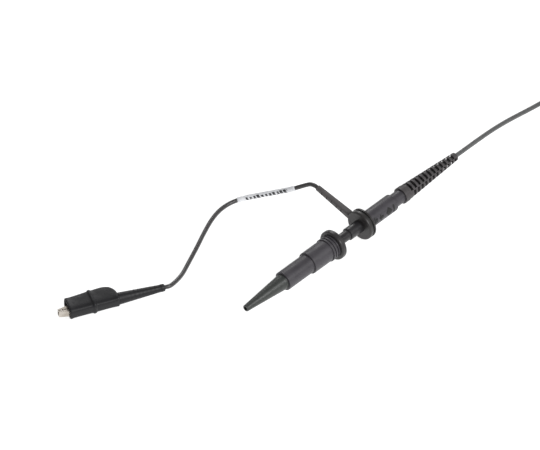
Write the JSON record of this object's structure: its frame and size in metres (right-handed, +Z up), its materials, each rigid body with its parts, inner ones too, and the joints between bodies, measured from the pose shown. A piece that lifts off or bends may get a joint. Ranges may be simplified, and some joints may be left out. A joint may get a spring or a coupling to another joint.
{
  "type": "oscilloscope probe",
  "caption": "Hand-held oscilloscope probe with retractable hook tip, finger guard, slotted strain relief, ground lead with clip, cable and BNC plug.",
  "frame": {"origin": "under the middle of the probe head, on the surface that its two flanges rest on", "axes": "+X along the probe from its tip to its cable, +Z up, +Y towards the side where the ground lead leaves"},
  "size_m": [0.5044, 0.1386, 0.021],
  "materials": {
    "nose_plastic": "fine satin moulding, slightly green dark grey",
    "barrel_plastic": "fine matt moulding, slightly purple dark grey",
    "neck_plastic": "satin moulding, blue-black",
    "guard_plastic": "satin moulding, dark grey",
    "marker_rubber": "black colour-code ring",
    "relief_rubber": "matt dark grey flexible moulding",
    "cable_jacket": "semi-matt grey PVC",
    "lead_jacket": "semi-matt dark grey PVC",
    "label_sleeve": "white shrink sleeve",
    "boot_vinyl": "soft black vinyl",
    "nickel": "nickel plated steel",
    "spring_steel": "drawn spring wire",
    "gold_brass": "gold flashed brass",
    "ptfe": "white fluoropolymer",
    "shield_copper": "tinned copper tube",
    "circuit_board": "green solder mask",
    "resistor_body": "lacquered ceramic",
    "capacitor_body": "fired ceramic",
    "plug_plastic": "fine spark-eroded texture, dark grey",
    "tie_fabric": "black woven hook and loop tape",
    "screw_steel": "blackened steel",
    "gasket_rubber": "red silicone"
  },
  "bodies": {
    "root": {"probe_tip_pin": "nickel", "tip_insulator": "ptfe", "ground_tube": "gold_brass", "neck_sleeve": "neck_plastic", "finger_guard": "guard_plastic", "marker_ring": "marker_rubber", "ground_socket": "gold_brass", "body_shell": "barrel_plastic", "shield_can": "shield_copper", "divider_board": "circuit_board", "input_resistor": "resistor_body", "input_capacitor": "capacitor_body", "cable_ferrule": "nickel", "inner_cable": "cable_jacket", "strain_relief": "relief_rubber", "ground_lead_pin": "nickel", "ground_lead_relief": "relief_rubber", "ground_lead": "lead_jacket", "lead_label": "label_sleeve", "clip_relief": "boot_vinyl", "clip_boot": "boot_vinyl", "lower_jaw": "nickel", "jaw_pin": "nickel", "jaw_spring": "spring_steel", "probe_cable": "cable_jacket", "cable_coil": "cable_jacket", "coil_tie": "tie_fabric", "plug_cable": "cable_jacket", "plug_relief": "relief_rubber", "plug_case_lower": "plug_plastic", "plug_case_upper": "plug_plastic", "case_screws": "screw_steel", "plug_board": "circuit_board", "trimmer_body": "ptfe", "bnc_body": "nickel", "bnc_insulator": "ptfe", "bnc_pin": "gold_brass", "bnc_contact_sleeve": "nickel", "bnc_gasket": "gasket_rubber"},
    "sleeve": {"nose_cone": "nose_plastic", "barrel_shell": "barrel_plastic", "finger_flange": "nose_plastic"},
    "hook_clip": {"hook_carrier": "neck_plastic", "hook_socket": "gold_brass", "hook_wire": "nickel", "sleeve_spring": "spring_steel"},
    "upper_jaw": {"upper_jaw": "nickel"},
    "bnc_nut": {"bnc_nut": "nickel"},
    "trimmer": {"trimmer_screw": "gold_brass"}
  },
  "joints": [
    {"name": "hook_clip_pull_off", "type": "slide", "parent": "root", "child": "hook_clip", "axis": [-1, 0, 0], "range_m": [0, 0.045]},
    {"name": "hook_sleeve_retract", "type": "slide", "parent": "hook_clip", "child": "sleeve", "axis": [1, 0, 0], "range_m": [0, 0.009], "stiffness_N_per_m": 180, "springref_m": -0.008, "deforming": ["sleeve_spring"]},
    {"name": "jaw_open", "type": "hinge", "parent": "root", "child": "upper_jaw", "pos_m": [-0.16402, 0.08245, 0.005], "axis": [0, 0, -1], "range_deg": [0, 18], "stiffness_Nm_per_rad": 0.05, "springref_deg": -20.05, "deforming": ["jaw_spring"]},
    {"name": "bnc_nut_turn", "type": "hinge", "parent": "root", "child": "bnc_nut", "pos_m": [0.313, -0.007, 0.0075], "axis": [1, 0, 0], "continuous": true},
    {"name": "trimmer_turn", "type": "hinge", "parent": "root", "child": "trimmer", "pos_m": [0.285, -0.0106, 0.012], "axis": [0, 0, 1], "continuous": true}
  ]
}
